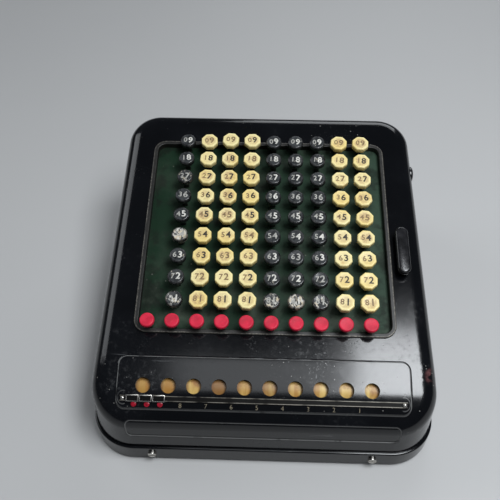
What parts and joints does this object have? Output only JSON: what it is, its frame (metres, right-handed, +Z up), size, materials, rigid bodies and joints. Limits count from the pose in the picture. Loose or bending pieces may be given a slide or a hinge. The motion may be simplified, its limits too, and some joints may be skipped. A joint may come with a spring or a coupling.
{
  "type": "mechanical adding machine",
  "caption": "Key-driven mechanical adding machine with a full sloping keyboard, round register windows over number wheels, sliding decimal markers and a clearing lever in an enamelled case",
  "frame": {"origin": "middle of the footprint, on the surface that the feet rest on", "axes": "+X to the operator's right, +Y from the operator to the back, +Z up"},
  "size_m": [0.2724, 0.294, 0.1381],
  "materials": {
    "black_enamel": "gloss black stove enamel, worn along edges",
    "green_plate": "dull dark green enamel",
    "rim_metal": "dulled, browned nickel plate",
    "frame_steel": "plain oiled steel",
    "nickel": "worn nickel plate",
    "cream_cap": "yellowed cream celluloid",
    "black_cap": "gloss black celluloid, worn",
    "red_cap": "red celluloid",
    "wheel_ivory": "stained ivory-coloured celluloid",
    "grip_black": "gloss black moulded grip",
    "foot_rubber": "black rubber"
  },
  "bodies": {
    "machine": {"base_plate": "black_enamel", "base_screws": "nickel", "rubber_feet": "foot_rubber", "case_cover": "black_enamel", "side_knob": "black_enamel", "keyboard_rim": "rim_metal", "keyboard_plate": "green_plate", "key_guide_plate": "frame_steel", "left_side_frame": "frame_steel", "right_side_frame": "frame_steel", "tie_rods": "frame_steel", "wheel_shaft": "frame_steel", "lever_shaft": "frame_steel", "decimal_rail": "black_enamel", "rail_screws": "nickel", "lever_pivot_pin": "frame_steel"},
    "keys_1_cream": {"keys_1_cream": "cream_cap"},
    "keys_1_black": {"keys_1_black": "black_cap"},
    "keys_2_cream": {"keys_2_cream": "cream_cap"},
    "keys_2_black": {"keys_2_black": "black_cap"},
    "keys_3_cream": {"keys_3_cream": "cream_cap"},
    "keys_3_black": {"keys_3_black": "black_cap"},
    "keys_4_cream": {"keys_4_cream": "cream_cap"},
    "keys_4_black": {"keys_4_black": "black_cap"},
    "keys_5_cream": {"keys_5_cream": "cream_cap"},
    "keys_5_black": {"keys_5_black": "black_cap"},
    "keys_6_cream": {"keys_6_cream": "cream_cap"},
    "keys_6_black": {"keys_6_black": "black_cap"},
    "keys_7_cream": {"keys_7_cream": "cream_cap"},
    "keys_7_black": {"keys_7_black": "black_cap"},
    "keys_8_cream": {"keys_8_cream": "cream_cap"},
    "keys_8_black": {"keys_8_black": "black_cap"},
    "keys_9_cream": {"keys_9_cream": "cream_cap"},
    "keys_9_black": {"keys_9_black": "black_cap"},
    "red_key_1": {"red_key_1": "red_cap"},
    "red_key_2": {"red_key_2": "red_cap"},
    "red_key_3": {"red_key_3": "red_cap"},
    "red_key_4": {"red_key_4": "red_cap"},
    "red_key_5": {"red_key_5": "red_cap"},
    "red_key_6": {"red_key_6": "red_cap"},
    "red_key_7": {"red_key_7": "red_cap"},
    "red_key_8": {"red_key_8": "red_cap"},
    "red_key_9": {"red_key_9": "red_cap"},
    "red_key_10": {"red_key_10": "red_cap"},
    "number_wheel_1": {"number_wheel_1": "wheel_ivory"},
    "number_wheel_2": {"number_wheel_2": "wheel_ivory"},
    "number_wheel_3": {"number_wheel_3": "wheel_ivory"},
    "number_wheel_4": {"number_wheel_4": "wheel_ivory"},
    "number_wheel_5": {"number_wheel_5": "wheel_ivory"},
    "number_wheel_6": {"number_wheel_6": "wheel_ivory"},
    "number_wheel_7": {"number_wheel_7": "wheel_ivory"},
    "number_wheel_8": {"number_wheel_8": "wheel_ivory"},
    "number_wheel_9": {"number_wheel_9": "wheel_ivory"},
    "number_wheel_10": {"number_wheel_10": "wheel_ivory"},
    "decimal_marker_1": {"decimal_marker_1": "nickel"},
    "decimal_marker_2": {"decimal_marker_2": "nickel"},
    "decimal_marker_3": {"decimal_marker_3": "nickel"},
    "clear_lever": {"clear_lever": "frame_steel", "clear_lever_grip": "grip_black"},
    "column_levers": {"column_levers": "frame_steel"}
  },
  "joints": [
    {"name": "clear_lever_pull", "type": "hinge", "parent": "machine", "child": "clear_lever", "pos_m": [0.1115, -0.00585, 0.03345], "axis": [1, 0, 0], "range_deg": [0, 16], "stiffness_Nm_per_rad": 0.2, "springref_deg": -17.19},
    {"name": "decimal_marker_1_slide", "type": "slide", "parent": "machine", "child": "decimal_marker_1", "axis": [1, 0, 0], "range_m": [0, 0.05715]},
    {"name": "decimal_marker_2_slide", "type": "slide", "parent": "decimal_marker_1", "child": "decimal_marker_2", "axis": [1, 0, 0], "range_m": [0, 0.05715]},
    {"name": "decimal_marker_3_slide", "type": "slide", "parent": "decimal_marker_2", "child": "decimal_marker_3", "axis": [1, 0, 0], "range_m": [0, 0.05715]},
    {"name": "column_levers_rock", "type": "hinge", "parent": "machine", "child": "column_levers", "pos_m": [0, 0.12229, 0.08642], "axis": [1, 0, 0], "range_deg": [0, 3.5], "stiffness_Nm_per_rad": 2, "springref_deg": -14.32},
    {"name": "number_wheel_1_turn", "type": "hinge", "parent": "machine", "child": "number_wheel_1", "pos_m": [-0.09025, -0.10817, 0.04744], "axis": [1, 0, 0], "continuous": true},
    {"name": "red_key_1_press", "type": "slide", "parent": "machine", "child": "red_key_1", "axis": [0, 0.2588, -0.9659], "range_m": [0, 0.005], "stiffness_N_per_m": 60, "springref_m": -0.005},
    {"name": "keys_1_cream_press", "type": "slide", "parent": "machine", "child": "keys_1_cream", "axis": [0, 0.2588, -0.9659], "range_m": [0, 0.0028], "stiffness_N_per_m": 200, "springref_m": -0.005},
    {"name": "keys_1_black_press", "type": "slide", "parent": "machine", "child": "keys_1_black", "axis": [0, 0.2588, -0.9659], "range_m": [0, 0.0028], "stiffness_N_per_m": 200, "springref_m": -0.005},
    {"name": "keys_2_cream_press", "type": "slide", "parent": "machine", "child": "keys_2_cream", "axis": [0, 0.2588, -0.9659], "range_m": [0, 0.0032], "stiffness_N_per_m": 200, "springref_m": -0.005},
    {"name": "keys_2_black_press", "type": "slide", "parent": "machine", "child": "keys_2_black", "axis": [0, 0.2588, -0.9659], "range_m": [0, 0.0032], "stiffness_N_per_m": 200, "springref_m": -0.005},
    {"name": "keys_3_cream_press", "type": "slide", "parent": "machine", "child": "keys_3_cream", "axis": [0, 0.2588, -0.9659], "range_m": [0, 0.0036], "stiffness_N_per_m": 200, "springref_m": -0.005},
    {"name": "keys_3_black_press", "type": "slide", "parent": "machine", "child": "keys_3_black", "axis": [0, 0.2588, -0.9659], "range_m": [0, 0.0036], "stiffness_N_per_m": 200, "springref_m": -0.005},
    {"name": "keys_4_cream_press", "type": "slide", "parent": "machine", "child": "keys_4_cream", "axis": [0, 0.2588, -0.9659], "range_m": [0, 0.004], "stiffness_N_per_m": 200, "springref_m": -0.005},
    {"name": "keys_4_black_press", "type": "slide", "parent": "machine", "child": "keys_4_black", "axis": [0, 0.2588, -0.9659], "range_m": [0, 0.004], "stiffness_N_per_m": 200, "springref_m": -0.005},
    {"name": "keys_5_cream_press", "type": "slide", "parent": "machine", "child": "keys_5_cream", "axis": [0, 0.2588, -0.9659], "range_m": [0, 0.0044], "stiffness_N_per_m": 200, "springref_m": -0.005},
    {"name": "keys_5_black_press", "type": "slide", "parent": "machine", "child": "keys_5_black", "axis": [0, 0.2588, -0.9659], "range_m": [0, 0.0044], "stiffness_N_per_m": 200, "springref_m": -0.005},
    {"name": "keys_6_cream_press", "type": "slide", "parent": "machine", "child": "keys_6_cream", "axis": [0, 0.2588, -0.9659], "range_m": [0, 0.0048], "stiffness_N_per_m": 200, "springref_m": -0.005},
    {"name": "keys_6_black_press", "type": "slide", "parent": "machine", "child": "keys_6_black", "axis": [0, 0.2588, -0.9659], "range_m": [0, 0.0048], "stiffness_N_per_m": 200, "springref_m": -0.005},
    {"name": "keys_7_cream_press", "type": "slide", "parent": "machine", "child": "keys_7_cream", "axis": [0, 0.2588, -0.9659], "range_m": [0, 0.0052], "stiffness_N_per_m": 200, "springref_m": -0.005},
    {"name": "keys_7_black_press", "type": "slide", "parent": "machine", "child": "keys_7_black", "axis": [0, 0.2588, -0.9659], "range_m": [0, 0.0052], "stiffness_N_per_m": 200, "springref_m": -0.005},
    {"name": "keys_8_cream_press", "type": "slide", "parent": "machine", "child": "keys_8_cream", "axis": [0, 0.2588, -0.9659], "range_m": [0, 0.0056], "stiffness_N_per_m": 200, "springref_m": -0.005},
    {"name": "keys_8_black_press", "type": "slide", "parent": "machine", "child": "keys_8_black", "axis": [0, 0.2588, -0.9659], "range_m": [0, 0.0056], "stiffness_N_per_m": 200, "springref_m": -0.005},
    {"name": "keys_9_cream_press", "type": "slide", "parent": "machine", "child": "keys_9_cream", "axis": [0, 0.2588, -0.9659], "range_m": [0, 0.006], "stiffness_N_per_m": 200, "springref_m": -0.005},
    {"name": "keys_9_black_press", "type": "slide", "parent": "machine", "child": "keys_9_black", "axis": [0, 0.2588, -0.9659], "range_m": [0, 0.006], "stiffness_N_per_m": 200, "springref_m": -0.005},
    {"name": "red_key_2_press", "type": "slide", "parent": "machine", "child": "red_key_2", "axis": [0, 0.2588, -0.9659], "range_m": [0, 0.005], "stiffness_N_per_m": 60, "springref_m": -0.005},
    {"name": "red_key_3_press", "type": "slide", "parent": "machine", "child": "red_key_3", "axis": [0, 0.2588, -0.9659], "range_m": [0, 0.005], "stiffness_N_per_m": 60, "springref_m": -0.005},
    {"name": "red_key_4_press", "type": "slide", "parent": "machine", "child": "red_key_4", "axis": [0, 0.2588, -0.9659], "range_m": [0, 0.005], "stiffness_N_per_m": 60, "springref_m": -0.005},
    {"name": "red_key_5_press", "type": "slide", "parent": "machine", "child": "red_key_5", "axis": [0, 0.2588, -0.9659], "range_m": [0, 0.005], "stiffness_N_per_m": 60, "springref_m": -0.005},
    {"name": "red_key_6_press", "type": "slide", "parent": "machine", "child": "red_key_6", "axis": [0, 0.2588, -0.9659], "range_m": [0, 0.005], "stiffness_N_per_m": 60, "springref_m": -0.005},
    {"name": "red_key_7_press", "type": "slide", "parent": "machine", "child": "red_key_7", "axis": [0, 0.2588, -0.9659], "range_m": [0, 0.005], "stiffness_N_per_m": 60, "springref_m": -0.005},
    {"name": "red_key_8_press", "type": "slide", "parent": "machine", "child": "red_key_8", "axis": [0, 0.2588, -0.9659], "range_m": [0, 0.005], "stiffness_N_per_m": 60, "springref_m": -0.005},
    {"name": "red_key_9_press", "type": "slide", "parent": "machine", "child": "red_key_9", "axis": [0, 0.2588, -0.9659], "range_m": [0, 0.005], "stiffness_N_per_m": 60, "springref_m": -0.005},
    {"name": "red_key_10_press", "type": "slide", "parent": "machine", "child": "red_key_10", "axis": [0, 0.2588, -0.9659], "range_m": [0, 0.005], "stiffness_N_per_m": 60, "springref_m": -0.005},
    {"name": "number_wheel_2_turn", "type": "hinge", "parent": "machine", "child": "number_wheel_2", "pos_m": [-0.0712, -0.10817, 0.04744], "axis": [1, 0, 0], "continuous": true},
    {"name": "number_wheel_3_turn", "type": "hinge", "parent": "machine", "child": "number_wheel_3", "pos_m": [-0.05215, -0.10817, 0.04744], "axis": [1, 0, 0], "continuous": true},
    {"name": "number_wheel_4_turn", "type": "hinge", "parent": "machine", "child": "number_wheel_4", "pos_m": [-0.0331, -0.10817, 0.04744], "axis": [1, 0, 0], "continuous": true},
    {"name": "number_wheel_5_turn", "type": "hinge", "parent": "machine", "child": "number_wheel_5", "pos_m": [-0.01405, -0.10817, 0.04744], "axis": [1, 0, 0], "continuous": true},
    {"name": "number_wheel_6_turn", "type": "hinge", "parent": "machine", "child": "number_wheel_6", "pos_m": [0.005, -0.10817, 0.04744], "axis": [1, 0, 0], "continuous": true},
    {"name": "number_wheel_7_turn", "type": "hinge", "parent": "machine", "child": "number_wheel_7", "pos_m": [0.02405, -0.10817, 0.04744], "axis": [1, 0, 0], "continuous": true},
    {"name": "number_wheel_8_turn", "type": "hinge", "parent": "machine", "child": "number_wheel_8", "pos_m": [0.0431, -0.10817, 0.04744], "axis": [1, 0, 0], "continuous": true},
    {"name": "number_wheel_9_turn", "type": "hinge", "parent": "machine", "child": "number_wheel_9", "pos_m": [0.06215, -0.10817, 0.04744], "axis": [1, 0, 0], "continuous": true},
    {"name": "number_wheel_10_turn", "type": "hinge", "parent": "machine", "child": "number_wheel_10", "pos_m": [0.0812, -0.10817, 0.04744], "axis": [1, 0, 0], "continuous": true}
  ]
}
